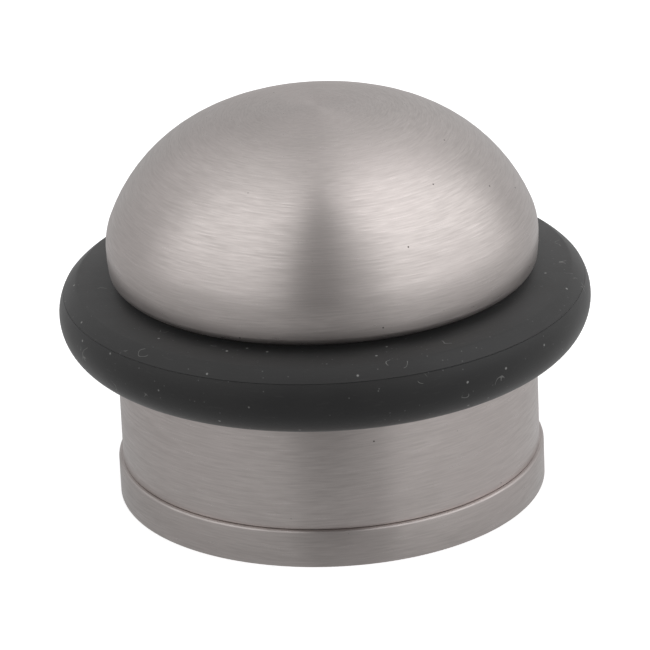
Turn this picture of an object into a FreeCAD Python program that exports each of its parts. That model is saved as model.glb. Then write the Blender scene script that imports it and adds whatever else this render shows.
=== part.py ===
import FreeCAD, Part
import math
import os
import re
import Sketcher

App = FreeCAD
UP = App.Vector(0, 0, 1)

# Every length is in millimetres. The stop stands on z = 0 with its axis on Z.
SIZES = [
    # floor plate: the rim that shows below the body, and the spigot that the body drops over
    ("rim_radius", 20.2),
    ("rim_height", 3.6),
    ("rim_bevel", 0.15),
    ("spigot_radius", 14.92),
    ("spigot_height", 9.0),
    ("spigot_bevel", 0.5),
    ("fixing_radius", 2.6),
    ("countersink_radius", 5.1),
    ("countersink_depth", 2.5),
    # gasket under the floor plate
    ("gasket_inner", 5.0),
    ("gasket_outer", 18.5),
    ("gasket_thickness", 1.0),
    ("gasket_room", 0.1),
    # body shell: skirt, shoulder, hub and web
    ("body_radius", 19.8),
    ("body_foot", 3.63),
    ("body_bevel", 0.05),
    ("body_shoulder", 14.3),
    ("socket_radius", 15.0),
    ("socket_top", 11.6),
    ("hub_radius", 15.9),
    ("hub_bore", 13.0),
    ("web_underside", 19.0),
    ("joint_height", 21.9),
    ("bolt_clearance", 3.2),
    ("register_outer", 14.5),
    ("register_inner", 13.3),
    ("register_height", 1.2),
    # dome cap
    ("dome_radius", 20.25),
    ("dome_widest", 24.8),
    ("dome_top", 37.7),
    ("crown_curve", 46.4),
    ("brow_curve", 16.38),
    ("side_curve", 5.91),
    ("lip_curve", 16.0),
    ("lip_fillet", 0.9),
    ("cavity_radius", 14.6),
    ("cavity_roof", 33.6),
    ("cavity_slope", 4.5),
    ("cavity_fillet", 3.0),
    ("boss_radius", 6.5),
    ("boss_foot", 22.3),
    ("tapped_radius", 3.0),
    ("tapped_depth", 10.5),
    ("drill_point", 1.8),
    # rubber ring
    ("ring_radius", 25.0),
    ("ring_bore", 16.0),
    ("ring_foot", 14.4),
    ("ring_top", 21.3),
    ("ring_nose", 3.9),
    ("parting_radius", 24.51),
    ("parting_height", 20.19),
    ("shoulder_curve", 4.62),
    ("shoulder_top", 23.14),
    # M6 hexagon bolt and its washers
    ("bolt_flats", 10.0),
    ("bolt_head", 4.0),
    ("bolt_head_bevel", 0.4),
    ("bolt_radius", 2.95),
    ("bolt_length", 16.0),
    ("bolt_point", 0.7),
    ("washer_outer", 6.0),
    ("washer_inner", 3.2),
    ("washer_thickness", 1.6),
    ("spring_outer", 5.9),
    ("spring_inner", 3.05),
    ("spring_thickness", 1.6),
    ("spring_split", 0.9),
    ("spring_slant", 20.0),
    # M4 grub screw in the back of the body
    ("grub_height", 6.5),
    ("grub_hole", 2.0),
    ("grub_radius", 1.95),
    ("grub_length", 4.0),
    ("grub_tip_gap", 0.05),
    ("grub_bevel", 0.5),
    ("grub_flats", 2.0),
    ("grub_socket", 2.0),
]

doc = FreeCAD.newDocument("door_stop")


def fill_sheet():
    """Write the driving dimensions into the sheet, one row each, with the name as its alias."""
    sheet = doc.addObject("Spreadsheet::Sheet", "sizes")
    for row, (name, size) in enumerate(SIZES, start=1):
        sheet.set(f"A{row}", name)
        sheet.set(f"B{row}", str(size))
        sheet.setAlias(f"B{row}", name)
    doc.recompute()
    return sheet


sizes = fill_sheet()


def bound(text):
    """Turn the names in a sum such as rim_height + rim_bevel into references to the sheet."""
    return re.sub(r"\b[a-z][a-z_]+\b(?!\()", lambda word: "sizes." + word.group(), text)


def value(text):
    """Work out a sum of sheet names as a plain number."""
    return float(sizes.evalExpression(bound(text)))


# ---- sketch helpers ----

def new_body(label):
    body = doc.addObject("PartDesign::Body", label)
    body.Label = label
    return body


def new_sketch(body, name, plane, lift=None):
    """Start a sketch on one of the body's own origin planes, lifted off it if asked."""
    sketch = body.newObject("Sketcher::SketchObject", name)
    features = body.Origin.OriginFeatures
    support = next(feature for feature in features if feature.Role == plane)
    sketch.AttachmentSupport = (support, [""])
    sketch.MapMode = "FlatFace"
    if lift:
        sketch.setExpression("AttachmentOffset.Base.z", bound(lift))
    return sketch


def bind(sketch, kind, *where):
    """Add a dimension to the sketch and tie it to the sheet."""
    *places, text = where
    number = sketch.addConstraint(Sketcher.Constraint(kind, *places, value(text)))
    sketch.setExpression(f"Constraints[{number}]", bound(text))


def place_point(sketch, line, end, across, along):
    """Hold one end of a line at the given distances from the sketch's origin."""
    for kind, axis, text in (("DistanceX", -2, across), ("DistanceY", -1, along)):
        if text == "0":
            sketch.addConstraint(Sketcher.Constraint("PointOnObject", line, end, axis))
        else:
            bind(sketch, kind, -1, 1, line, end, text)


def draw_outline(body, name, corners):
    """Draw a closed outline of straight lines through corners given as (radius, height)."""
    sketch = new_sketch(body, name, "XZ_Plane")
    points = [App.Vector(value(radius), value(height), 0) for radius, height in corners]
    for start, end in zip(points, points[1:] + points[:1]):
        sketch.addGeometry(Part.LineSegment(start, end), False)
    for line, (radius, height) in enumerate(corners):
        following = (line + 1) % len(corners)
        sketch.addConstraint(Sketcher.Constraint("Coincident", line, 2, following, 1))
        place_point(sketch, line, 1, radius, height)
    return sketch


def turn(body, name, sketch, kind="PartDesign::Revolution"):
    """Turn a sketch a full circle about the body's upright axis, to add or to cut."""
    feature = body.newObject(kind, name)
    feature.Profile = sketch
    feature.ReferenceAxis = (sketch, ["V_Axis"])
    feature.Angle = 360
    sketch.Visibility = False
    doc.recompute()
    return feature


def turn_away(body, name, sketch):
    """Cut a turned hollow, and stop if it took nothing away."""
    before = body.Shape.Volume
    groove = turn(body, name, sketch, "PartDesign::Groove")
    if body.Shape.Volume > before - 0.01:
        raise RuntimeError(f"{body.Label}: {name} cuts nothing")
    return groove


def draw_circle(body, name, plane, radius, lift=None, height=None):
    """Draw a circle on a plane, on the origin or at a height above it."""
    sketch = new_sketch(body, name, plane, lift)
    centre = App.Vector(0, value(height) if height else 0, 0)
    sketch.addGeometry(Part.Circle(centre, UP, value(radius)), False)
    place_point(sketch, 0, 3, "0", height or "0")
    bind(sketch, "Radius", 0, radius)
    return sketch


def draw_hexagon(body, name, across_flats, lift=None):
    """Draw a regular hexagon round the origin, held in shape by a construction circle."""
    sketch = new_sketch(body, name, "XY_Plane", lift)
    corner_radius = f"{across_flats} / sqrt(3)"
    reach = value(across_flats) / math.sqrt(3)
    angles = [math.radians(60 * side) for side in range(6)]
    points = [App.Vector(reach * math.cos(angle), reach * math.sin(angle), 0) for angle in angles]
    for start, end in zip(points, points[1:] + points[:1]):
        sketch.addGeometry(Part.LineSegment(start, end), False)
    ring = sketch.addGeometry(Part.Circle(App.Vector(0, 0, 0), UP, reach), True)
    place_point(sketch, ring, 3, "0", "0")
    bind(sketch, "Radius", ring, corner_radius)
    for side in range(6):
        sketch.addConstraint(Sketcher.Constraint("Coincident", side, 2, (side + 1) % 6, 1))
        sketch.addConstraint(Sketcher.Constraint("PointOnObject", side, 1, ring))
    for side in range(1, 6):
        sketch.addConstraint(Sketcher.Constraint("Equal", 0, side))
    sketch.addConstraint(Sketcher.Constraint("PointOnObject", 0, 1, -1))
    return sketch


def pad(body, name, sketch, length):
    """Raise a sketch along its own normal."""
    feature = body.newObject("PartDesign::Pad", name)
    feature.Profile = sketch
    feature.setExpression("Length", bound(length))
    sketch.Visibility = False
    doc.recompute()
    return feature


def pocket(body, name, sketch, length, backwards=False):
    """Sink a sketch into the body, and stop if it took nothing away."""
    before = body.Shape.Volume
    feature = body.newObject("PartDesign::Pocket", name)
    feature.Profile = sketch
    feature.setExpression("Length", bound(length))
    feature.Reversed = backwards
    sketch.Visibility = False
    doc.recompute()
    if body.Shape.Volume > before - 0.01:
        raise RuntimeError(f"{body.Label}: {name} cuts nothing")
    return feature


def circular_edges(feature, height, radius):
    """Name the full circles of a radius that lie at a height."""
    names = []
    for number, edge in enumerate(feature.Shape.Edges, start=1):
        if edge.Degenerated or not isinstance(edge.Curve, Part.Circle):
            continue
        curve = edge.Curve
        if abs(curve.Center.z - height) < 0.01 and abs(curve.Radius - radius) < 0.01:
            names.append(f"Edge{number}")
    return names


def dress(body, kind, name, feature, size, edges, text):
    """Fillet or chamfer edges of the latest feature."""
    dressing = body.newObject(kind, name)
    dressing.Base = (feature, edges)
    dressing.setExpression(size, bound(text))
    doc.recompute()
    return dressing


# ---- floor plate and gasket ----

def make_floor_plate():
    """The disc that is screwed to the floor: its rim shows and its spigot carries the body."""
    body = new_body("floor_plate")
    recess_inner = "gasket_inner - gasket_room"
    recess_outer = "gasket_outer + gasket_room"
    outline = draw_outline(body, "plate_outline", [
        ("fixing_radius", "0"),
        (recess_inner, "0"),
        (recess_inner, "gasket_thickness"),
        (recess_outer, "gasket_thickness"),
        (recess_outer, "0"),
        ("rim_radius", "0"),
        ("rim_radius", "rim_height - rim_bevel"),
        ("rim_radius - rim_bevel", "rim_height"),
        ("spigot_radius", "rim_height"),
        ("spigot_radius", "spigot_height - spigot_bevel"),
        ("spigot_radius - spigot_bevel", "spigot_height"),
        ("countersink_radius", "spigot_height"),
        ("fixing_radius", "spigot_height - countersink_depth"),
    ])
    turn(body, "plate", outline)
    return body


def make_base_gasket():
    """The rubber ring let into the plate's underside, level with the plate on the floor."""
    body = new_body("base_gasket")
    outline = draw_outline(body, "gasket_outline", [
        ("gasket_inner", "0"),
        ("gasket_outer", "0"),
        ("gasket_outer", "gasket_thickness"),
        ("gasket_inner", "gasket_thickness"),
    ])
    turn(body, "gasket", outline)
    return body


# ---- body shell ----

def make_body_shell():
    """The lower casting: a skirt over the spigot, and a hub that the rubber ring sits on."""
    body = new_body("body_shell")
    outline = draw_outline(body, "shell_outline", [
        ("socket_radius", "body_foot"),
        ("body_radius - body_bevel", "body_foot"),
        ("body_radius", "body_foot + body_bevel"),
        ("body_radius", "body_shoulder - body_bevel"),
        ("body_radius - body_bevel", "body_shoulder"),
        ("hub_radius", "body_shoulder"),
        ("hub_radius", "joint_height"),
        ("register_outer", "joint_height"),
        ("register_outer", "joint_height + register_height"),
        ("register_inner", "joint_height + register_height"),
        ("register_inner", "joint_height"),
        ("bolt_clearance", "joint_height"),
        ("bolt_clearance", "web_underside"),
        ("hub_bore", "web_underside"),
        ("hub_bore", "socket_top"),
        ("socket_radius", "socket_top"),
    ])
    turn(body, "shell", outline)
    hole = draw_circle(body, "grub_hole_circle", "XZ_Plane", "grub_hole", height="grub_height")
    pocket(body, "grub_tapping", hole, "body_radius + 1")
    return body


# ---- dome cap ----

def meeting_point(centre_a, reach_a, centre_b, reach_b):
    """Find the point at the given reaches from two centres, above the line a to b."""
    line = centre_b - centre_a
    along = (reach_a ** 2 - reach_b ** 2 + line.Length ** 2) / (2 * line.Length)
    aside = math.sqrt(reach_a ** 2 - along ** 2)
    direction = App.Vector(line).normalize()
    return centre_a + direction * along + direction.cross(UP) * -aside


def bearing(start, end):
    return math.atan2(end.y - start.y, end.x - start.x)


def add_arc(sketch, centre, radius, start, end):
    """Draw an arc anticlockwise between two bearings, with its radius tied to the sheet."""
    circle = Part.Circle(centre, UP, value(radius))
    arc = sketch.addGeometry(Part.ArcOfCircle(circle, start, end), False)
    bind(sketch, "Radius", arc, radius)
    return arc


def draw_dome(body):
    """Draw half the dome's section: crown, brow, side and lip arcs that run into each other."""
    sketch = new_sketch(body, "dome_outline", "XZ_Plane")
    crown_centre = App.Vector(0, value("dome_top - crown_curve"), 0)
    side_centre = App.Vector(value("dome_radius - side_curve"), value("dome_widest"), 0)
    lip_centre = App.Vector(value("dome_radius - lip_curve"), value("dome_widest"), 0)
    crown_reach = value("crown_curve - brow_curve")
    side_reach = value("brow_curve - side_curve")
    brow_centre = meeting_point(crown_centre, crown_reach, side_centre, side_reach)
    brow_top = bearing(crown_centre, brow_centre)
    brow_end = bearing(brow_centre, side_centre)
    lip_end = -math.asin(value("dome_widest - joint_height") / value("lip_curve"))
    lip_point = App.Vector(lip_centre.x + value("lip_curve") * math.cos(lip_end),
                           value("joint_height"), 0)

    lip = add_arc(sketch, lip_centre, "lip_curve", lip_end, 0)
    side = add_arc(sketch, side_centre, "side_curve", 0, brow_end)
    brow = add_arc(sketch, brow_centre, "brow_curve", brow_end, brow_top)
    crown = add_arc(sketch, crown_centre, "crown_curve", brow_top, math.radians(90))
    foot_centre = App.Vector(0, value("joint_height"), 0)
    top_centre = App.Vector(0, value("dome_top"), 0)
    axis = sketch.addGeometry(Part.LineSegment(top_centre, foot_centre), False)
    foot = sketch.addGeometry(Part.LineSegment(foot_centre, lip_point), False)

    for lower, upper in ((lip, side), (side, brow), (brow, crown)):
        sketch.addConstraint(Sketcher.Constraint("Tangent", lower, 2, upper, 1))
    for earlier, later in ((crown, axis), (axis, foot), (foot, lip)):
        sketch.addConstraint(Sketcher.Constraint("Coincident", earlier, 2, later, 1))
    sketch.addConstraint(Sketcher.Constraint("PointOnObject", crown, 3, -2))
    sketch.addConstraint(Sketcher.Constraint("Horizontal", side, 3, side, 1))
    sketch.addConstraint(Sketcher.Constraint("Horizontal", foot))
    place_point(sketch, axis, 1, "0", "dome_top")
    place_point(sketch, axis, 2, "0", "joint_height")
    place_point(sketch, side, 1, "dome_radius", "dome_widest")
    return sketch


def make_dome_cap():
    """The upper casting: a hollow dome with a tapped boss on its axis."""
    body = new_body("dome_cap")
    dome = turn(body, "dome", draw_dome(body))
    lip_reach = value("sqrt(lip_curve * lip_curve - (dome_widest - joint_height) ^ 2)")
    lip_edges = circular_edges(dome, value("joint_height"),
                               value("dome_radius - lip_curve") + lip_reach)
    dress(body, "PartDesign::Fillet", "lip_rounding", dome, "Radius", lip_edges, "lip_fillet")
    cavity = draw_outline(body, "cavity_outline", [
        ("0", "joint_height"),
        ("cavity_radius", "joint_height"),
        ("cavity_radius", "cavity_roof - cavity_slope"),
        ("cavity_radius - cavity_slope", "cavity_roof"),
        ("boss_radius", "cavity_roof"),
        ("boss_radius", "boss_foot"),
        ("0", "boss_foot"),
    ])
    hollow = turn_away(body, "cavity", cavity)
    slope_edges = circular_edges(hollow, value("cavity_roof - cavity_slope"),
                                 value("cavity_radius"))
    slope_edges += circular_edges(hollow, value("cavity_roof"),
                                  value("cavity_radius - cavity_slope"))
    dress(body, "PartDesign::Fillet", "roof_rounding", hollow, "Radius", slope_edges,
          "cavity_fillet")
    tapping = draw_outline(body, "tapping_outline", [
        ("0", "boss_foot"),
        ("tapped_radius", "boss_foot"),
        ("tapped_radius", "boss_foot + tapped_depth"),
        ("0", "boss_foot + tapped_depth + drill_point"),
    ])
    turn_away(body, "tapping", tapping)
    return body


# ---- rubber ring ----

def arc_centre(start, end, radius):
    """Find the centre, nearer the axis, of an arc through two points."""
    chord = end - start
    middle = (start + end) * 0.5
    inward = UP.cross(chord).normalize()
    return middle + inward * math.sqrt(radius ** 2 - (chord.Length / 2) ** 2)


def make_rubber_ring():
    """The bumper: bored for the hub, with a round nose and a flatter shoulder above it."""
    body = new_body("rubber_ring")
    sketch = new_sketch(body, "ring_outline", "XZ_Plane")
    nose_centre = App.Vector(value("ring_radius - ring_nose"), value("ring_foot + ring_nose"), 0)
    nose_foot = App.Vector(nose_centre.x, value("ring_foot"), 0)
    parting = App.Vector(value("parting_radius"), value("parting_height"), 0)
    shoulder_top = App.Vector(value("shoulder_top"), value("ring_top"), 0)
    shoulder_centre = arc_centre(parting, shoulder_top, value("shoulder_curve"))
    bore_foot = App.Vector(value("ring_bore"), value("ring_foot"), 0)
    bore_top = App.Vector(value("ring_bore"), value("ring_top"), 0)

    nose = add_arc(sketch, nose_centre, "ring_nose", math.radians(-90),
                   bearing(nose_centre, parting))
    shoulder = add_arc(sketch, shoulder_centre, "shoulder_curve",
                       bearing(shoulder_centre, parting), bearing(shoulder_centre, shoulder_top))
    top = sketch.addGeometry(Part.LineSegment(shoulder_top, bore_top), False)
    bore = sketch.addGeometry(Part.LineSegment(bore_top, bore_foot), False)
    foot = sketch.addGeometry(Part.LineSegment(bore_foot, nose_foot), False)
    for earlier, later in ((nose, shoulder), (shoulder, top), (top, bore), (bore, foot)):
        sketch.addConstraint(Sketcher.Constraint("Coincident", earlier, 2, later, 1))
    sketch.addConstraint(Sketcher.Constraint("Tangent", foot, 2, nose, 1))
    sketch.addConstraint(Sketcher.Constraint("Horizontal", top))
    sketch.addConstraint(Sketcher.Constraint("Horizontal", foot))
    place_point(sketch, bore, 1, "ring_bore", "ring_top")
    place_point(sketch, bore, 2, "ring_bore", "ring_foot")
    bind(sketch, "DistanceX", -1, 1, nose, 3, "ring_radius - ring_nose")
    bind(sketch, "DistanceY", -1, 1, nose, 2, "parting_height")
    bind(sketch, "DistanceX", -1, 1, top, 1, "shoulder_top")
    turn(body, "ring", sketch)
    return body


# ---- bolt and washers ----

def make_clamp_bolt():
    """The M6 bolt that draws the dome down onto the hub, head downwards inside the hub."""
    body = new_body("clamp_bolt")
    head = draw_hexagon(body, "head_hexagon", "bolt_flats")
    pad(body, "head", head, "bolt_head")
    corner = "bolt_flats / sqrt(3)"
    rounding = draw_outline(body, "head_corner_outline", [
        (f"{corner} - 2 * bolt_head_bevel", "0"),
        (f"{corner} + bolt_head_bevel", "0"),
        (f"{corner} + bolt_head_bevel", "1.5 * bolt_head_bevel"),
    ])
    turn_away(body, "head_corners", rounding)
    shank = draw_circle(body, "shank_circle", "XY_Plane", "bolt_radius", lift="bolt_head")
    rod = pad(body, "shank", shank, "bolt_length")
    end_edges = circular_edges(rod, value("bolt_head + bolt_length"), value("bolt_radius"))
    dress(body, "PartDesign::Chamfer", "shank_point", rod, "Size", end_edges, "bolt_point")
    drop = "web_underside - washer_thickness - spring_thickness - bolt_head"
    body.setExpression("Placement.Base.z", bound(drop))
    return body


def make_cylinder(name, radius, thickness):
    cylinder = doc.addObject("Part::Cylinder", name)
    cylinder.setExpression("Radius", bound(radius))
    cylinder.setExpression("Height", bound(thickness))
    return cylinder


def make_cut(name, base, tool):
    cut = doc.addObject("Part::Cut", name)
    cut.Base = base
    cut.Tool = tool
    return cut


def make_flat_washer():
    """The plain washer against the web's underside."""
    disc = make_cylinder("washer_disc", "washer_outer", "washer_thickness")
    hole = make_cylinder("washer_hole", "washer_inner", "washer_thickness")
    washer = make_cut("flat_washer", disc, hole)
    washer.setExpression("Placement.Base.z", bound("web_underside - washer_thickness"))
    return washer


def make_spring_washer():
    """The split washer, pressed flat between the bolt's head and the plain washer."""
    disc = make_cylinder("spring_disc", "spring_outer", "spring_thickness")
    hole = make_cylinder("spring_hole", "spring_inner", "spring_thickness")
    ring = make_cut("spring_ring", disc, hole)
    split = doc.addObject("Part::Box", "spring_split_box")
    split.setExpression("Length", bound("spring_outer + 1"))
    split.setExpression("Width", bound("spring_split"))
    split.setExpression("Height", bound("3 * spring_thickness"))
    split.setExpression("Placement.Base.y", bound("0 - spring_split / 2"))
    split.setExpression("Placement.Base.z", bound("0 - spring_thickness"))
    split.Placement.Rotation = App.Rotation(App.Vector(1, 0, 0), value("spring_slant"))
    washer = make_cut("spring_washer", ring, split)
    drop = "web_underside - washer_thickness - spring_thickness"
    washer.setExpression("Placement.Base.z", bound(drop))
    return washer


# ---- grub screw ----

def make_grub_screw():
    """The M4 screw in the back of the skirt: its flat tip holds the body to the spigot."""
    body = new_body("grub_screw")
    circle = draw_circle(body, "grub_circle", "XY_Plane", "grub_radius")
    stud = pad(body, "stud", circle, "grub_length")
    tip_edges = circular_edges(stud, 0, value("grub_radius"))
    dress(body, "PartDesign::Chamfer", "tip", stud, "Size", tip_edges, "grub_bevel")
    hexagon = draw_hexagon(body, "socket_hexagon", "grub_flats", lift="grub_length")
    pocket(body, "socket", hexagon, "grub_socket")
    body.Placement.Rotation = App.Rotation(UP, App.Vector(0, 1, 0))
    body.setExpression("Placement.Base.y", bound("spigot_radius + grub_tip_gap"))
    body.setExpression("Placement.Base.z", bound("grub_height"))
    return body


# ---- whole stop ----

def check(parts):
    """Stop if any object in the document failed or any part isn't a sound solid."""
    for item in doc.Objects:
        if "Invalid" in item.State or "Error" in item.State:
            raise RuntimeError(f"{item.Label}: {item.State}")
    for part in parts:
        if part.Shape.isNull() or not part.Shape.isValid() or not part.Shape.Solids:
            raise RuntimeError(f"{part.Label} isn't a sound solid")


def main():
    parts = [
        make_floor_plate(),
        make_base_gasket(),
        make_body_shell(),
        make_dome_cap(),
        make_rubber_ring(),
        make_clamp_bolt(),
        make_spring_washer(),
        make_flat_washer(),
        make_grub_screw(),
    ]
    doc.recompute()
    check(parts)
    os.makedirs("parts", exist_ok=True)
    for part in parts:
        part.Shape.exportStep(f"parts/{part.Label}.step")
        box = part.Shape.optimalBoundingBox()
        print(part.Label, round(part.Shape.Volume, 1), "mm3",
              [round(edge, 2) for edge in (box.XMin, box.YMin, box.ZMin)],
              [round(edge, 2) for edge in (box.XMax, box.YMax, box.ZMax)])


main()
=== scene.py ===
import math

import bpy
from mathutils import Matrix, Vector


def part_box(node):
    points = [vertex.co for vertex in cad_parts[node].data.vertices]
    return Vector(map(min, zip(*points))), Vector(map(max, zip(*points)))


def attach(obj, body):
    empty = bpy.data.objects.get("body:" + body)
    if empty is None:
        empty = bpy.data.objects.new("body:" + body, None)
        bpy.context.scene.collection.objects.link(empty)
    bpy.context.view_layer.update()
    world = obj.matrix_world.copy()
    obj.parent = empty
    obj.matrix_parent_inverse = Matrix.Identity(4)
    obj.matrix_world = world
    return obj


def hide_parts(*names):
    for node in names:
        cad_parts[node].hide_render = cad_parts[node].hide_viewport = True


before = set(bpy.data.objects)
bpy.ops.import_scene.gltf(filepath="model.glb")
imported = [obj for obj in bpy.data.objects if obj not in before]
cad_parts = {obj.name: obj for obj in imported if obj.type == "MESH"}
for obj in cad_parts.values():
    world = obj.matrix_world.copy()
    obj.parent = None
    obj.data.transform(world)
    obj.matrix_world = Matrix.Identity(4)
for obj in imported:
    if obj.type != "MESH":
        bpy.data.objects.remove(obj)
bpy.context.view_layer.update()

# Every length is in metres. The stop stands on z = 0 with its axis on Z.
MM = 0.001
TURN_STEPS = 192            # facets round each turned piece
ARC_STEP = math.radians(4)  # longest stretch of an arc between two points of an outline
DOUBLE = 0.002 * MM         # points closer than this are one point
SHARP_EDGE = math.radians(20)    # an edge that turns more than this is broken
SMOOTH_LIMIT = math.radians(32)  # faces that meet more flatly than this are shaded as one

PLATE_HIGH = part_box("floor_plate")[1]
SHELL_LOW, SHELL_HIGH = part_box("body_shell")
DOME_LOW, DOME_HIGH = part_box("dome_cap")
RING_LOW, RING_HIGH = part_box("rubber_ring")
GRUB_LOW, GRUB_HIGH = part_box("grub_screw")

# floor plate
RIM_HEIGHT = 3.6 * MM
RIM_BEVEL = 0.15 * MM
SPIGOT_RADIUS = 14.92 * MM
SPIGOT_BEVEL = 0.5 * MM
FIXING_RADIUS = 2.6 * MM
COUNTERSINK_RADIUS = 5.1 * MM
GASKET_DEPTH = 1.0 * MM
GASKET_GROOVE = (4.9 * MM, 18.6 * MM)

# body shell
BODY_BEVEL = 0.05 * MM
BODY_SHOULDER = 14.3 * MM
SOCKET_RADIUS = 15.0 * MM
SOCKET_TOP = 11.6 * MM
HUB_RADIUS = 15.9 * MM
HUB_BORE = 13.0 * MM
WEB_UNDERSIDE = 19.0 * MM
BOLT_CLEARANCE = 3.2 * MM
REGISTER = (13.3 * MM, 14.5 * MM)
GRUB_HOLE = 2.0 * MM
DRILL_OVERSHOOT = 2 * MM    # how far the drill for the grub screw starts outside the skirt
DRILL_FACETS = 48

# dome cap
DOME_WIDEST = 24.8 * MM
CROWN_CURVE = 46.4 * MM
BROW_CURVE = 16.38 * MM
SIDE_CURVE = 5.91 * MM
LIP_CURVE = 16.0 * MM
LIP_ROUNDING = 0.9 * MM
CAVITY_RADIUS = 14.6 * MM
CAVITY_ROOF = 33.6 * MM
CAVITY_SLOPE = 4.5 * MM
BOSS_RADIUS = 6.5 * MM
BOSS_FOOT = 22.3 * MM
TAPPED_RADIUS = 3.0 * MM
TAPPED_TOP = 32.8 * MM
DRILL_TIP = 34.6 * MM

# rubber ring
RING_BORE = 16.0 * MM
RING_NOSE = 3.9 * MM
PARTING_TURN = math.radians(29)  # where the mould's parting line runs, above the nose's middle
PARTING_WIDTH = 0.07 * MM
PARTING_DEPTH = 0.045 * MM
SHOULDER_CURVE = 4.62 * MM  # the curve above the parting line, flatter where it starts
SHOULDER_FOOT = math.radians(40)

# grub screw
THREAD_PITCH = 0.7 * MM
THREAD_DEPTH = 0.2 * MM
THREAD_CREST = (0.44, 0.56)  # where a thread's flat top starts and ends within its pitch
GRUB_CHAMFER = 0.35 * MM
KEY_FLATS = 2.0 * MM
KEY_DEPTH = 2.0 * MM

RIM_PAINTED_SHADE = 0.87             # a painted shade: how much darker the floor plate's plating is made, standing in for the floor's shadow that its rim reflects
EDGE_SOFTENING = 0.05 * MM  # how far a machined edge is broken


# ---- outlines: lists of (radius, height) that run round half a section ----

def arc(centre, radius, start, end):
    """Points along an arc, both ends included, from one bearing to another."""
    count = max(2, math.ceil(abs(end - start) / ARC_STEP))
    turns = [start + (end - start) * step / count for step in range(count + 1)]
    return [(centre[0] + radius * math.cos(turn), centre[1] + radius * math.sin(turn))
            for turn in turns]


def bearing(start, end):
    return math.atan2(end[1] - start[1], end[0] - start[0])


def brow_centre(crown_centre, side_centre):
    """Centre of the brow arc, which runs into the crown above it and the side below it."""
    crown_reach = CROWN_CURVE - BROW_CURVE
    side_reach = BROW_CURVE - SIDE_CURVE
    gap = math.dist(crown_centre, side_centre)
    along = (crown_reach ** 2 - side_reach ** 2 + gap ** 2) / (2 * gap)
    aside = math.sqrt(crown_reach ** 2 - along ** 2)
    course = bearing(crown_centre, side_centre)
    return (crown_centre[0] + along * math.cos(course) - aside * math.sin(course),
            crown_centre[1] + along * math.sin(course) + aside * math.cos(course))


def plate_outline():
    spigot_top = PLATE_HIGH.z
    rim = PLATE_HIGH.x
    groove_inner, groove_outer = GASKET_GROOVE
    straight_top = spigot_top - (COUNTERSINK_RADIUS - FIXING_RADIUS)
    return [
        (FIXING_RADIUS, 0),
        (groove_inner, 0),
        (groove_inner, GASKET_DEPTH),
        (groove_outer, GASKET_DEPTH),
        (groove_outer, 0),
        (rim, 0),
        (rim, RIM_HEIGHT - RIM_BEVEL),
        (rim - RIM_BEVEL, RIM_HEIGHT),
        (SPIGOT_RADIUS, RIM_HEIGHT),
        (SPIGOT_RADIUS, spigot_top - SPIGOT_BEVEL),
        (SPIGOT_RADIUS - SPIGOT_BEVEL, spigot_top),
        (COUNTERSINK_RADIUS, spigot_top),
        (FIXING_RADIUS, straight_top),
    ]


def shell_outline():
    body = SHELL_HIGH.x
    foot = SHELL_LOW.z
    joint = DOME_LOW.z
    register_inner, register_outer = REGISTER
    return [
        (SOCKET_RADIUS, foot),
        (body - BODY_BEVEL, foot),
        (body, foot + BODY_BEVEL),
        (body, BODY_SHOULDER - BODY_BEVEL),
        (body - BODY_BEVEL, BODY_SHOULDER),
        (HUB_RADIUS, BODY_SHOULDER),
        (HUB_RADIUS, joint),
        (register_outer, joint),
        (register_outer, SHELL_HIGH.z),
        (register_inner, SHELL_HIGH.z),
        (register_inner, joint),
        (BOLT_CLEARANCE, joint),
        (BOLT_CLEARANCE, WEB_UNDERSIDE),
        (HUB_BORE, WEB_UNDERSIDE),
        (HUB_BORE, SOCKET_TOP),
        (SOCKET_RADIUS, SOCKET_TOP),
    ]


def dome_outline():
    top = DOME_HIGH.z
    foot = DOME_LOW.z
    crown_centre = (0, top - CROWN_CURVE)
    side_centre = (DOME_HIGH.x - SIDE_CURVE, DOME_WIDEST)
    lip_centre = (DOME_HIGH.x - LIP_CURVE, DOME_WIDEST)
    brow = brow_centre(crown_centre, side_centre)
    brow_top = bearing(crown_centre, brow)
    brow_end = bearing(brow, side_centre)
    rounding_height = foot + LIP_ROUNDING
    rounding_reach = math.sqrt((LIP_CURVE - LIP_ROUNDING) ** 2
                               - (rounding_height - DOME_WIDEST) ** 2)
    rounding = (lip_centre[0] + rounding_reach, rounding_height)
    lip_end = bearing(lip_centre, rounding)
    outside = (
        arc(rounding, LIP_ROUNDING, math.radians(-90), lip_end)[:-1]
        + arc(lip_centre, LIP_CURVE, lip_end, 0)[:-1]
        + arc(side_centre, SIDE_CURVE, 0, brow_end)[:-1]
        + arc(brow, BROW_CURVE, brow_end, brow_top)[:-1]
        + arc(crown_centre, CROWN_CURVE, brow_top, math.radians(90))
    )
    inside = [
        (0, DRILL_TIP),
        (TAPPED_RADIUS, TAPPED_TOP),
        (TAPPED_RADIUS, BOSS_FOOT),
        (BOSS_RADIUS, BOSS_FOOT),
        (BOSS_RADIUS, CAVITY_ROOF),
        (CAVITY_RADIUS - CAVITY_SLOPE, CAVITY_ROOF),
        (CAVITY_RADIUS, CAVITY_ROOF - CAVITY_SLOPE),
        (CAVITY_RADIUS, foot),
    ]
    return inside + outside


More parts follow.
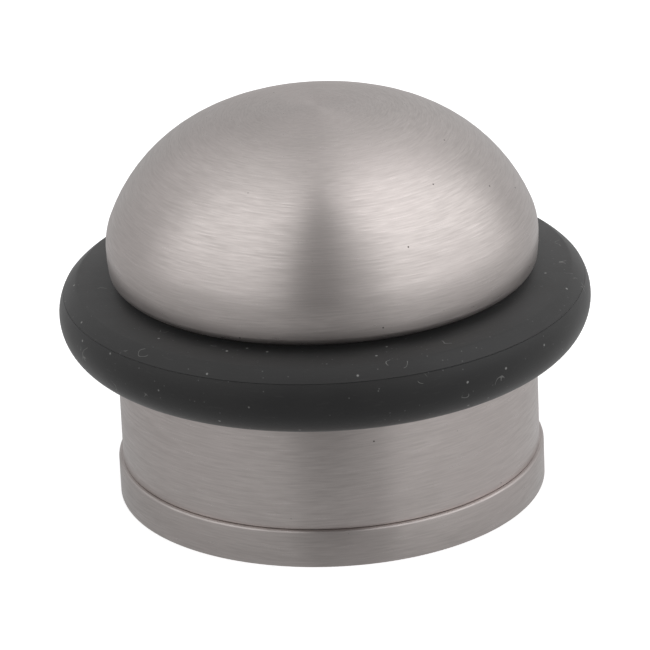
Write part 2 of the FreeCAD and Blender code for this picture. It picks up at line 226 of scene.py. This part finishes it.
def ring_outline():
    foot = RING_LOW.z
    top = RING_HIGH.z
    nose = (RING_HIGH.x - RING_NOSE, foot + RING_NOSE)
    half_line = PARTING_WIDTH / 2 / RING_NOSE
    line_floor = RING_NOSE - PARTING_DEPTH
    upper_turn = PARTING_TURN + half_line
    upper_edge = (nose[0] + RING_NOSE * math.cos(upper_turn),
                  nose[1] + RING_NOSE * math.sin(upper_turn))
    shoulder = (upper_edge[0] - SHOULDER_CURVE * math.cos(SHOULDER_FOOT),
                upper_edge[1] - SHOULDER_CURVE * math.sin(SHOULDER_FOOT))
    shoulder_top = math.asin((top - shoulder[1]) / SHOULDER_CURVE)
    return (
        [(RING_BORE, foot)]
        + arc(nose, RING_NOSE, math.radians(-90), PARTING_TURN - half_line)
        + [(nose[0] + line_floor * math.cos(PARTING_TURN),
            nose[1] + line_floor * math.sin(PARTING_TURN))]
        + arc(shoulder, SHOULDER_CURVE, SHOULDER_FOOT, shoulder_top)
        + [(RING_BORE, top)]
    )


def grub_outline(length, radius):
    """Half section of the screw about its own axis, tip at height 0, with the thread as rings."""
    core = radius - THREAD_DEPTH
    points = [(0, 0), (radius - 2 * GRUB_CHAMFER, 0), (core, GRUB_CHAMFER)]
    height = 1.5 * GRUB_CHAMFER
    while height + THREAD_PITCH < length - GRUB_CHAMFER / 2:
        points.append((core, height))
        points += [(radius, height + share * THREAD_PITCH) for share in THREAD_CREST]
        height += THREAD_PITCH
    return points + [(core, height), (core, length), (0, length)]


# ---- modelling with Blender's own tools ----

def start_edit(name):
    """Take the piece just added, name it, and open it for editing."""
    piece = bpy.context.object
    piece.name = name
    piece.data.name = name
    bpy.ops.object.mode_set(mode="EDIT")
    bpy.ops.mesh.select_mode(type="VERT")
    return piece


def draw(name, outline, closed):
    """Draw an outline on the plane y = 0 by extruding one point from corner to corner."""
    bpy.ops.object.select_all(action="DESELECT")
    first = Vector((outline[0][0], 0, outline[0][1]))
    bpy.ops.mesh.primitive_circle_add(vertices=3, radius=DOUBLE, location=first)
    piece = start_edit(name)
    bpy.ops.mesh.select_all(action="SELECT")
    bpy.ops.mesh.merge(type="CENTER")
    place = first
    for radius, height in outline[1:] + ([outline[0]] if closed else []):
        corner = Vector((radius, 0, height))
        bpy.ops.mesh.extrude_region_move(TRANSFORM_OT_translate={"value": corner - place})
        place = corner
    return piece


def turn(name, outline, closed=True):
    """Spin an outline a full circle round the Z axis and weld the seam."""
    piece = draw(name, outline, closed)
    bpy.ops.mesh.select_all(action="SELECT")
    bpy.ops.mesh.spin(steps=TURN_STEPS, angle=2 * math.pi, center=(0, 0, 0), axis=(0, 0, 1))
    bpy.ops.mesh.select_all(action="SELECT")
    bpy.ops.mesh.remove_doubles(threshold=DOUBLE)
    bpy.ops.mesh.normals_make_consistent(inside=False)
    bpy.ops.object.mode_set(mode="OBJECT")
    bpy.ops.object.transform_apply(location=True, rotation=True, scale=True)
    return piece


def cut_away(piece, tool):
    """Take the tool's shape out of a piece and remove the tool."""
    cutter = piece.modifiers.new("cut", "BOOLEAN")
    cutter.operation = "DIFFERENCE"
    cutter.solver = "EXACT"
    cutter.object = tool
    make_active(piece)
    bpy.ops.object.modifier_apply(modifier=cutter.name)
    bpy.data.objects.remove(tool)


def make_active(piece):
    bpy.ops.object.select_all(action="DESELECT")
    piece.select_set(True)
    bpy.context.view_layer.objects.active = piece


def soften_edges(piece, width=EDGE_SOFTENING):
    """Break every machined edge by a small round, then shade the rest smooth."""
    make_active(piece)
    bevel = piece.modifiers.new("broken edges", "BEVEL")
    bevel.width = width
    bevel.segments = 2
    bevel.limit_method = "ANGLE"
    bevel.angle_limit = SHARP_EDGE
    bpy.ops.object.modifier_apply(modifier=bevel.name)
    shade(piece)


def shade(piece):
    make_active(piece)
    bpy.ops.object.shade_smooth_by_angle(angle=SMOOTH_LIMIT)


# ---- node materials ----

WANDER_SCALE = 55           # drifts of the brush strokes in a metre


class Finish:
    """A node material under construction, with a short way to add and join its nodes."""

    def __init__(self, name):
        self.material = bpy.data.materials.new(name)
        self.material.use_nodes = True
        self.tree = self.material.node_tree
        self.shader = self.tree.nodes["Principled BSDF"]

    def add(self, kind, **settings):
        node = self.tree.nodes.new("ShaderNode" + kind)
        for setting, chosen in settings.items():
            setattr(node, setting, chosen)
        return node

    def join(self, source, target):
        self.tree.links.new(source, target)

    def feed(self, node, socket, source):
        """Give a socket a fixed value, or link it when the source is another socket."""
        if isinstance(source, bpy.types.NodeSocket):
            self.join(source, node.inputs[socket])
        else:
            node.inputs[socket].default_value = source

    def maths(self, operation, first, second=0.0):
        node = self.add("Math", operation=operation)
        self.feed(node, 0, first)
        self.feed(node, 1, second)
        return node.outputs[0]

    def noise(self, vector, scale, detail=3.0, roughness=0.55):
        node = self.add("TexNoise")
        self.join(vector, node.inputs["Vector"])
        node.inputs["Scale"].default_value = scale
        node.inputs["Detail"].default_value = detail
        node.inputs["Roughness"].default_value = roughness
        return node.outputs["Fac"]

    def spread(self, source, low, high, to_low, to_high):
        """Map one range of a value onto another, and hold it at the ends."""
        node = self.add("MapRange")
        for socket, number in zip(("From Min", "From Max", "To Min", "To Max"),
                                  (low, high, to_low, to_high)):
            node.inputs[socket].default_value = number
        self.join(source, node.inputs["Value"])
        return node.outputs["Result"]

    def blend(self, share, first, second):
        """Mix two colours, each given as a socket or as red, green and blue."""
        node = self.add("Mix", data_type="RGBA")
        self.join(share, node.inputs["Factor"])
        for socket, colour in (("A", first), ("B", second)):
            target = next(item for item in node.inputs if item.name == socket
                          and item.type == "RGBA")
            if isinstance(colour, bpy.types.NodeSocket):
                self.join(colour, target)
            else:
                target.default_value = (*colour, 1)
        return next(item for item in node.outputs if item.type == "RGBA")

    def place(self):
        return self.add("TexCoord").outputs["Object"]

    def brushing(self, stroke, grain, wander=0.0):
        """Coordinates that run round the axis: long along a brush stroke, short across it.

        The strokes drift up and down by the wander, so that two layers of them cross."""
        split = self.add("SeparateXYZ")
        self.join(self.place(), split.inputs[0])
        level = self.add("CombineXYZ")
        self.join(split.outputs["X"], level.inputs["X"])
        self.join(split.outputs["Y"], level.inputs["Y"])
        radius = self.add("VectorMath", operation="LENGTH")
        self.join(level.outputs[0], radius.inputs[0])
        course = self.add("VectorMath", operation="NORMALIZE")
        self.join(level.outputs[0], course.inputs[0])
        stretched = self.add("VectorMath", operation="SCALE")
        self.join(course.outputs["Vector"], stretched.inputs[0])
        stretched.inputs["Scale"].default_value = stroke
        across = self.maths("SUBTRACT", radius.outputs["Value"], split.outputs["Z"])
        if wander:
            drift = self.noise(self.place(), WANDER_SCALE, 0.0)
            across = self.maths("ADD", across, self.maths("MULTIPLY", drift, wander))
        rise = self.add("CombineXYZ")
        self.join(self.maths("MULTIPLY", across, 1 / grain), rise.inputs["Z"])
        total = self.add("VectorMath", operation="ADD")
        self.join(stretched.outputs["Vector"], total.inputs[0])
        self.join(rise.outputs[0], total.inputs[1])
        return total.outputs["Vector"]

    def specks(self, spacing, size, share):
        """Scattered spots: 1 inside a spot, 0 elsewhere, in a share of the cells."""
        cells = self.add("TexVoronoi")
        self.join(self.place(), cells.inputs["Vector"])
        cells.inputs["Scale"].default_value = 1 / spacing
        spot = self.spread(cells.outputs["Distance"], size / spacing, 0.5 * size / spacing, 0, 1)
        pick = self.add("SeparateColor")
        self.join(cells.outputs["Color"], pick.inputs[0])
        chosen = self.maths("GREATER_THAN", pick.outputs[0], 1 - share)
        return self.maths("MULTIPLY", spot, chosen)

    def threads(self, scale, width, patch_scale, threshold):
        """Short curled threads: 1 along the middle contour of one noise, inside spots of another."""
        field = self.noise(self.place(), scale, 0.0)
        off = self.maths("ABSOLUTE", self.maths("SUBTRACT", field, 0.5))
        line = self.spread(off, width, 0.5 * width, 0, 1)
        spots = self.noise(self.place(), patch_scale, 1.0)
        inside = self.spread(spots, threshold, threshold + 0.02, 0, 1)
        return self.maths("MULTIPLY", line, inside)

    def patch(self, angle, middle, half, soft):
        """1 within half a width of a bearing, given in degrees, and 0 past its soft edge."""
        off = self.maths("ABSOLUTE", self.maths("SUBTRACT", angle, math.radians(middle)))
        node = self.add("MapRange", interpolation_type="SMOOTHSTEP")
        self.join(off, node.inputs["Value"])
        node.inputs["From Min"].default_value = math.radians(half + soft / 2)
        node.inputs["From Max"].default_value = math.radians(half - soft / 2)
        return node.outputs["Result"]

    def bump(self, height, depth, strength):
        node = self.add("Bump")
        node.inputs["Strength"].default_value = strength
        node.inputs["Distance"].default_value = depth
        self.join(height, node.inputs["Height"])
        return node.outputs["Normal"]


def satin_nickel(name, tone=1.0):
    """Nickel plate brushed round the axis: crossing hairlines, broad bands and a few pits."""
    finish = Finish(name)
    strokes = finish.noise(finish.brushing(7.0, 0.19 * MM, 2.2 * MM), 1.0, 3.0, 0.62)
    hairlines = finish.noise(finish.brushing(3.2, 0.12 * MM, -3.0 * MM), 1.0, 2.0, 0.6)
    bands = finish.noise(finish.brushing(1.1, 1.3 * MM), 1.0, 2.0)
    clouds = finish.noise(finish.place(), 90.0, 2.0)
    pits = finish.specks(1.3 * MM, 0.10 * MM, 0.10)

    # Every colour is scaled by the tone. The floor plate's tone below 1 is a painted shade that
    # darkens its rim as if it reflected the floor's shadow.
    def shade_of(red, green, blue):
        return (tone * red, tone * green, tone * blue)

    worn = finish.blend(finish.spread(bands, 0.3, 0.7, 0, 1),
                        shade_of(0.600, 0.551, 0.532), shade_of(0.640, 0.587, 0.568))
    stroked = finish.blend(finish.spread(strokes, 0.36, 0.66, 0, 0.52), worn,
                           shade_of(0.465, 0.425, 0.41))
    lined = finish.blend(finish.spread(hairlines, 0.56, 0.74, 0, 0.22), stroked,
                         shade_of(0.80, 0.745, 0.725))
    warmed = finish.blend(finish.spread(clouds, 0.45, 0.75, 0, 0.30), lined,
                          shade_of(0.635, 0.567, 0.557))
    finish.join(finish.blend(pits, warmed, (0.06, 0.055, 0.05)),
                finish.shader.inputs["Base Color"])
    finish.join(finish.spread(strokes, 0.3, 0.7, 0.27, 0.38),
                finish.shader.inputs["Roughness"])
    relief = finish.maths("ADD", finish.maths("MULTIPLY", strokes, 0.6),
                          finish.maths("MULTIPLY", hairlines, 0.4))
    finish.join(finish.bump(relief, 0.012 * MM, 0.42), finish.shader.inputs["Normal"])
    course = finish.add("Tangent", direction_type="RADIAL", axis="Z")
    finish.join(course.outputs[0], finish.shader.inputs["Tangent"])
    finish.shader.inputs["Metallic"].default_value = 1.0
    finish.shader.inputs["Anisotropic"].default_value = 0.75
    finish.shader.inputs["Anisotropic Rotation"].default_value = 0.25
    return finish.material


def bumper_rubber():
    """Matte charcoal rubber with dust, lint, faint scuffs and a moulded grain."""
    finish = Finish("bumper_rubber")
    clouds = finish.noise(finish.place(), 160.0, 4.0)
    grain = finish.noise(finish.place(), 5200.0, 2.0)
    scuffs = finish.noise(finish.brushing(14.0, 0.3 * MM), 1.0, 5.0, 0.7)
    dust = finish.specks(0.9 * MM, 0.15 * MM, 0.13)
    grit = finish.specks(0.45 * MM, 0.09 * MM, 0.12)
    lint = finish.threads(900.0, 0.020, 330.0, 0.675)

    clean = finish.blend(finish.spread(clouds, 0.3, 0.7, 0, 1),
                         (0.0090, 0.0090, 0.0095), (0.0155, 0.0150, 0.0150))
    rubbed = finish.blend(finish.spread(scuffs, 0.58, 0.80, 0, 0.45), clean,
                          (0.055, 0.053, 0.052))
    gritty = finish.blend(finish.maths("MULTIPLY", grit, 0.5), rubbed, (0.14, 0.14, 0.14))
    linted = finish.blend(finish.maths("MULTIPLY", lint, 0.45), gritty, (0.30, 0.30, 0.29))
    finish.join(finish.blend(finish.maths("MULTIPLY", dust, 0.6), linted, (0.42, 0.42, 0.41)),
                finish.shader.inputs["Base Color"])
    finish.join(finish.spread(clouds, 0.3, 0.7, 0.46, 0.60), finish.shader.inputs["Roughness"])
    finish.join(finish.bump(grain, 0.02 * MM, 0.35), finish.shader.inputs["Normal"])
    finish.shader.inputs["Specular IOR Level"].default_value = 0.5
    finish.shader.inputs["Sheen Weight"].default_value = 0.28
    finish.shader.inputs["Sheen Roughness"].default_value = 0.4
    return finish.material


def gasket_rubber():
    """Black sheet rubber with a fine pebbled skin."""
    finish = Finish("gasket_rubber")
    pebbles = finish.noise(finish.place(), 2600.0, 3.0)
    finish.join(finish.blend(pebbles, (0.012, 0.012, 0.012), (0.03, 0.03, 0.031)),
                finish.shader.inputs["Base Color"])
    finish.join(finish.spread(pebbles, 0.3, 0.7, 0.65, 0.85), finish.shader.inputs["Roughness"])
    finish.join(finish.bump(pebbles, 0.04 * MM, 0.5), finish.shader.inputs["Normal"])
    return finish.material


def machine_steel(name, dark, light, roughness):
    """Steel of a bought screw or washer: cloudy, with fine forging marks."""
    finish = Finish(name)
    clouds = finish.noise(finish.place(), 420.0, 4.0)
    marks = finish.noise(finish.place(), 3800.0, 3.0)
    finish.join(finish.blend(finish.spread(clouds, 0.3, 0.7, 0, 1), dark, light),
                finish.shader.inputs["Base Color"])
    finish.join(finish.spread(marks, 0.3, 0.7, roughness, roughness + 0.16),
                finish.shader.inputs["Roughness"])
    finish.join(finish.bump(marks, 0.015 * MM, 0.4), finish.shader.inputs["Normal"])
    finish.shader.inputs["Metallic"].default_value = 1.0
    return finish.material


def floor_finish():
    """A pale matte floor with a barely uneven tone, which glows a little so that it stays white."""
    finish = Finish("pale_floor")
    tone = finish.noise(finish.place(), 3.0, 2.0)
    finish.join(finish.blend(tone, (0.86, 0.86, 0.86), (0.88, 0.88, 0.88)),
                finish.shader.inputs["Base Color"])
    finish.shader.inputs["Roughness"].default_value = 0.9
    finish.shader.inputs["Specular IOR Level"].default_value = 0.1
    finish.shader.inputs["Emission Color"].default_value = (1, 1, 1, 1)
    finish.shader.inputs["Emission Strength"].default_value = 0.6
    return finish.material


# ---- pieces ----

def dress(piece, body, nodes, material):
    """Give a piece its material and place it in the frame."""
    piece.data.materials.clear()
    piece.data.materials.append(material)
    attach(piece, body)
    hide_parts(*nodes)


def make_plate(material):
    piece = turn("floor_plate_turned", plate_outline())
    soften_edges(piece)
    dress(piece, "base", ["floor_plate"], material)


def make_shell(material):
    piece = turn("body_shell_turned", shell_outline())
    middle = (GRUB_LOW.z + GRUB_HIGH.z) / 2
    deep = SOCKET_RADIUS / 2
    reach = SHELL_HIGH.x + DRILL_OVERSHOOT - deep
    bpy.ops.object.select_all(action="DESELECT")
    bpy.ops.mesh.primitive_cylinder_add(
        vertices=DRILL_FACETS, radius=GRUB_HOLE, depth=reach,
        location=(0, deep + reach / 2, middle), rotation=(math.radians(90), 0, 0))
    cut_away(piece, bpy.context.object)
    soften_edges(piece)
    dress(piece, "cover", ["body_shell"], material)


def make_dome(material):
    piece = turn("dome_cap_turned", dome_outline(), closed=False)
    soften_edges(piece)
    dress(piece, "cover", ["dome_cap"], material)


def make_ring(material):
    piece = turn("rubber_ring_moulded", ring_outline())
    shade(piece)
    dress(piece, "bumper", ["rubber_ring"], material)


def make_grub(material):
    length = GRUB_HIGH.y - GRUB_LOW.y
    radius = (GRUB_HIGH.x - GRUB_LOW.x) / 2
    piece = turn("grub_screw_threaded", grub_outline(length, radius), closed=False)
    bpy.ops.object.select_all(action="DESELECT")
    bpy.ops.mesh.primitive_cylinder_add(
        vertices=6, radius=KEY_FLATS / math.sqrt(3), depth=2 * KEY_DEPTH,
        location=(0, 0, length))
    cut_away(piece, bpy.context.object)
    soften_edges(piece, EDGE_SOFTENING / 2)
    piece.rotation_euler = (math.radians(-90), 0, 0)
    piece.location = (0, GRUB_LOW.y, (GRUB_LOW.z + GRUB_HIGH.z) / 2)
    make_active(piece)
    bpy.ops.object.transform_apply(location=True, rotation=True, scale=True)
    dress(piece, "set_screw", ["grub_screw"], material)


def finish_nodes(materials):
    """Give the carried-over CAD pieces their materials."""
    for name, material in materials.items():
        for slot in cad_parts[name].material_slots:
            slot.material = material


# ---- studio ----

CAMERA_RISE = 0.399         # radians that the camera looks down
CAMERA_ROLL = -0.045        # radians that the camera is tilted
CAMERA_DISTANCE = 0.5
CAMERA_LENS = 290.3         # millimetres
CAMERA_SENSOR = 36          # millimetres
AIM_ACROSS = -0.746 * MM
AIM_UP = 14.371 * MM


def add_camera():
    forward = Vector((0, math.cos(CAMERA_RISE), -math.sin(CAMERA_RISE)))
    level = Vector((1, 0, 0))
    upright = level.cross(forward)
    across = level * math.cos(CAMERA_ROLL) + upright * math.sin(CAMERA_ROLL)
    upward = across.cross(forward)
    lens = bpy.data.cameras.new("camera")
    lens.lens = CAMERA_LENS
    lens.sensor_width = CAMERA_SENSOR
    camera = bpy.data.objects.new("camera", lens)
    bpy.context.scene.collection.objects.link(camera)
    turned = Matrix((across, upward, -forward)).transposed().to_4x4()
    aim = across * AIM_ACROSS + upward * AIM_UP
    turned.translation = aim - forward * CAMERA_DISTANCE
    camera.matrix_world = turned
    bpy.context.scene.camera = camera


# The tent's glow: each patch is (bearing from the front, its half width, its soft edge,
# height above the horizon, its half height, its soft edge, brightness), in degrees.
TENT_RADIUS = 3
TENT_FACETS = (48, 24)      # round the tent, and from its foot to its top
TENT_GLOW = 0.46
TENT_PATCHES = [
    (76, 43, 38, 50, 42, 36, 0.64),
    (-65, 37, 32, 56, 44, 36, 0.51),
    (128, 34, 34, 44, 27, 30, 0.13),
    (-118, 34, 34, 44, 27, 30, 0.15),
    (110, 80, 20, 20, 60, 30, 0.12),
    (-110, 70, 30, 40, 60, 30, 0.04),
    (6, 26, 6, -35, 40, 40, -0.06),
    (-3, 13, 18, 38, 50, 36, -0.22),
    (0, 24, 30, 68, 16, 24, -0.16),
    (0, 180, 1, 80, 36, 50, 0.20),
]


def tent_glow():
    """A white cloth tent, brighter where the lamps stand behind it, dim where it opens."""
    finish = Finish("tent_glow")
    split = finish.add("SeparateXYZ")
    finish.join(finish.place(), split.inputs[0])
    ahead = finish.maths("MULTIPLY", split.outputs["Y"], -1.0)
    side = finish.maths("ARCTAN2", split.outputs["X"], ahead)
    rise = finish.maths("ARCSINE", finish.maths("DIVIDE", split.outputs["Z"], TENT_RADIUS))
    total = TENT_GLOW
    for middle, half, soft, height, half_height, soft_height, brightness in TENT_PATCHES:
        wide = finish.patch(side, middle, half, soft)
        tall = finish.patch(rise, height, half_height, soft_height)
        share = finish.maths("MULTIPLY", wide, tall)
        total = finish.maths("ADD", finish.maths("MULTIPLY", share, brightness), total)
    finish.tree.nodes.remove(finish.shader)
    glow = finish.add("Emission")
    finish.join(total, glow.inputs["Strength"])
    output = finish.tree.nodes["Material Output"]
    finish.join(glow.outputs[0], output.inputs["Surface"])
    return finish.material


def add_tent():
    """A tent all round the stop. The camera looks through it, and only its light shows."""
    bpy.ops.object.select_all(action="DESELECT")
    around, upward = TENT_FACETS
    bpy.ops.mesh.primitive_uv_sphere_add(segments=around, ring_count=upward, radius=TENT_RADIUS)
    tent = bpy.context.object
    tent.name = "tent"
    tent.data.materials.append(tent_glow())
    tent.visible_camera = False


def add_floor():
    bpy.ops.object.select_all(action="DESELECT")
    bpy.ops.mesh.primitive_plane_add(size=2 * TENT_RADIUS, location=(0, 0, 0))
    floor = bpy.context.object
    floor.name = "floor"
    floor.data.materials.append(floor_finish())
    floor.visible_glossy = False
    floor.visible_diffuse = False


def add_sky():
    world = bpy.data.worlds.new("studio")
    world.use_nodes = True
    background = world.node_tree.nodes["Background"]
    background.inputs["Color"].default_value = (1, 1, 1, 1)
    background.inputs["Strength"].default_value = 1.0
    bpy.context.scene.world = world


nickel = satin_nickel("satin_nickel")
zinc = machine_steel("zinc_plated_steel", (0.50, 0.51, 0.54), (0.66, 0.67, 0.70), 0.24)
# The floor plate's nickel carries a painted shade, darker than the body's.
make_plate(satin_nickel("satin_nickel_rim", RIM_PAINTED_SHADE))
make_shell(nickel)
make_dome(nickel)
make_ring(bumper_rubber())
make_grub(machine_steel("plain_steel", (0.16, 0.16, 0.165), (0.27, 0.27, 0.275), 0.34))
finish_nodes({
    "base_gasket": gasket_rubber(),
    "clamp_bolt": zinc,
    "spring_washer": zinc,
    "flat_washer": zinc,
})
add_floor()
add_tent()
add_sky()
add_camera()
bpy.context.scene.view_settings.view_transform = "Standard"
